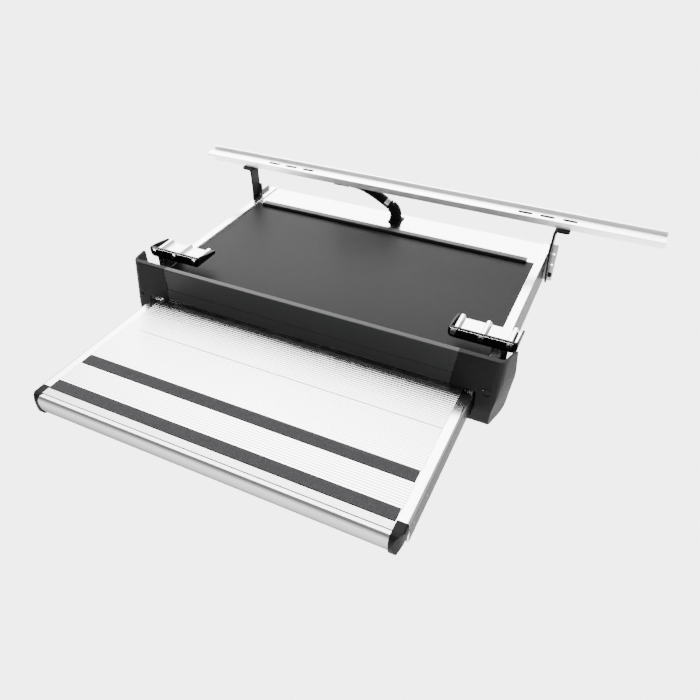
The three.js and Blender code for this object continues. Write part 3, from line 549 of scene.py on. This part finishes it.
def rear_bar():
    """The bar that closes the cover's rear edge, with fine ribs across its top."""
    mesh = clean_mesh("rear_bar")
    soften(mesh, 0.3 * MM)
    low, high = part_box("rear_bar")
    ends = (low.y + 1.6 * MM, high.y - 2.2 * MM)
    count = int((high.x - low.x - 8 * MM) / BAR_RIB_PITCH)
    for i in range(count):
        x = low.x + 4 * MM + (i + 0.5) * BAR_RIB_PITCH
        rings = []
        for y in ends:
            rings.append([mesh.verts.new((x + dx * MM, y, high.z + dz * MM)) for dx, dz in BAR_RIB])
        skin(mesh, rings)
    bmesh.ops.recalc_face_normals(mesh, faces=mesh.faces)
    finish_piece(mesh, "rear_bar_piece", "rear_bar", "anthracite")


# ---------------------------------------------------------------- spindle
SPINDLE_LEAD = 25 * MM
SPINDLE_STARTS = 4
SPINDLE_FRONT = (5 * MM, 22 * MM)    # radius and length of the plain front end
SPINDLE_BACK = (4 * MM, 13 * MM)
THREAD_DEPTH = 0.9 * MM


def threaded_spindle():
    """The drive spindle with its quick four-start thread."""
    low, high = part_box("drive_spindle")
    radius = (high.x - low.x) / 2
    centre_x = (high.x + low.x) / 2
    centre_z = (high.z + low.z) / 2
    rings = []
    mesh = bmesh.new()
    count = int((high.y - low.y) / (0.8 * MM))
    for i in range(count + 1):
        y = low.y + (high.y - low.y) * i / count
        ring = []
        for k in range(32):
            turn = 2 * math.pi * k / 32
            if y < low.y + SPINDLE_FRONT[1]:
                reach = SPINDLE_FRONT[0]
            elif y > high.y - SPINDLE_BACK[1]:
                reach = SPINDLE_BACK[0]
            else:
                wave = 0.5 + 0.5 * math.cos(SPINDLE_STARTS * (turn + 2 * math.pi * y / SPINDLE_LEAD))
                reach = radius - THREAD_DEPTH * (1 - wave) ** 2
            x = centre_x + reach * math.cos(turn)
            ring.append(mesh.verts.new((x, y, centre_z + reach * math.sin(turn))))
        rings.append(ring)
    skin(mesh, rings)
    bmesh.ops.recalc_face_normals(mesh, faces=mesh.faces)
    finish_piece(mesh, "spindle_piece", "drive_spindle", "bright_steel", 45)


# ---------------------------------------------------------------- all pieces
tread_panel("tread_front", ("grip_strip_front", "grip_strip_rear"))
tread_panel("tread_rear", ())
nose()
conduit_hose()
rear_bar()
threaded_spindle()
slotted_rail()
BUILT = {
    "cross_rail", "tread_front", "tread_rear", "nose_profile", "conduit_hose", "rear_bar", "drive_spindle"}
SOFT_EDGES = {
    "end_cap_left": 0.7 * MM, "end_cap_right": 0.7 * MM, "cover_plate": 0.5 * MM,
    "fascia_profile": 0.5 * MM, "nose_cap_left": 0.6 * MM, "nose_cap_right": 0.6 * MM}
RAILS = ("tray_rail", "side_rail")
DULL = {"strut_angle": "zinc_dull"}
for node in frame["nodes"]:
    if node in BUILT:
        continue
    family = node.rpartition("_")[0]
    rail = family in RAILS
    material = "aluminium_long" if rail else DULL.get(family)
    dressed = dress(node, material, SOFT_EDGES.get(node, EDGE))
    if rail:
        paint_flank_shade(dressed, node.rpartition("_")[2])
for side in ("left", "right"):
    rail_screws(side)


# ---------------------------------------------------------------- stage
SKY = 0.7
HORIZON = 3.0
SOFTBOX = 18.0
SOFTBOX_TOWARDS = Vector((-0.3364, 0.7069, 0.6223)).normalized()
FLOOR_GLOW = 1.7
FLOOR_DROP = 1.1
FLOOR_REACH = 30


def stage():
    """A pale floor, low enough for the object to throw no visible shadow on it."""
    mesh = bpy.data.meshes.new("floor")
    low = CAD_BOX[0].z - FLOOR_DROP
    corners = [(x * FLOOR_REACH, y * FLOOR_REACH, low) for x, y in ((-1, -1), (1, -1), (1, 1), (-1, 1))]
    mesh.from_pydata(corners, [], [(0, 1, 2, 3)])
    floor = bpy.data.objects.new("floor", mesh)
    bpy.context.scene.collection.objects.link(floor)
    m = Nodes("pale_floor", (0.93, 0.93, 0.93), 0.9)
    specular(m, 0.0)
    m.colour(m.ramp(m.noise(3), (0.92, 0.92, 0.92), (0.94, 0.94, 0.94)))
    m.shader.inputs["Emission Color"].default_value = (1, 1, 1, 1)
    m.shader.inputs["Emission Strength"].default_value = FLOOR_GLOW
    mesh.materials.append(m.material)


def area_light(name, place, target, size, power):
    data = bpy.data.lights.new(name, "AREA")
    data.shape = "RECTANGLE"
    data.size, data.size_y = size
    data.energy = power
    light = bpy.data.objects.new(name, data)
    light.location = place
    light.rotation_mode = "QUATERNION"
    light.rotation_quaternion = (Vector(target) - Vector(place)).to_track_quat("-Z", "Y")
    bpy.context.scene.collection.objects.link(light)


def fade(tree, value, start, end, low, high):
    """Strength that goes smoothly from low to high while the value goes from start to end."""
    ramp = tree.nodes.new("ShaderNodeMapRange")
    ramp.interpolation_type = "SMOOTHSTEP"
    for name, number in (("From Min", start), ("From Max", end), ("To Min", low), ("To Max", high)):
        ramp.inputs[name].default_value = number
    tree.links.new(value, ramp.inputs["Value"])
    return ramp.outputs["Result"]


def world():
    """A pale studio that darkens upwards, with one large soft light high up behind the step."""
    sky = bpy.data.worlds.new("studio")
    bpy.context.scene.world = sky
    sky.use_nodes = True
    tree = sky.node_tree
    place = tree.nodes.new("ShaderNodeTexCoord")
    dot = tree.nodes.new("ShaderNodeVectorMath")
    dot.operation = "DOT_PRODUCT"
    dot.inputs[1].default_value = SOFTBOX_TOWARDS
    tree.links.new(place.outputs["Generated"], dot.inputs[0])
    split = tree.nodes.new("ShaderNodeSeparateXYZ")
    tree.links.new(place.outputs["Generated"], split.inputs["Vector"])
    total = tree.nodes.new("ShaderNodeMath")
    total.operation = "ADD"
    tree.links.new(fade(tree, dot.outputs["Value"], 0.80, 0.95, 0, SOFTBOX), total.inputs[0])
    tree.links.new(fade(tree, split.outputs["Z"], 0.0, 0.45, HORIZON, SKY), total.inputs[1])
    background = tree.nodes["Background"]
    background.inputs["Color"].default_value = (1, 1, 1, 1)
    tree.links.new(total.outputs["Value"], background.inputs["Strength"])


def camera():
    data = bpy.data.cameras.new("camera")
    data.lens = 32.56
    data.sensor_width = 36
    data.clip_start = 0.05
    data.clip_end = 50
    eye = bpy.data.objects.new("camera", data)
    place = Vector((0.3992, -1.0364, 0.4926))
    forward = Vector((-0.3364, 0.7069, -0.6223)).normalized()
    eye.rotation_mode = "QUATERNION"
    eye.rotation_quaternion = forward.to_track_quat("-Z", "Y")
    eye.location = place
    bpy.context.scene.collection.objects.link(eye)
    bpy.context.scene.camera = eye


camera()
world()
stage()
area_light("key", (0.4, -0.6, 2.4), (0, -0.2, 0), (2.4, 1.6), 4)

bpy.context.view_layer.update()
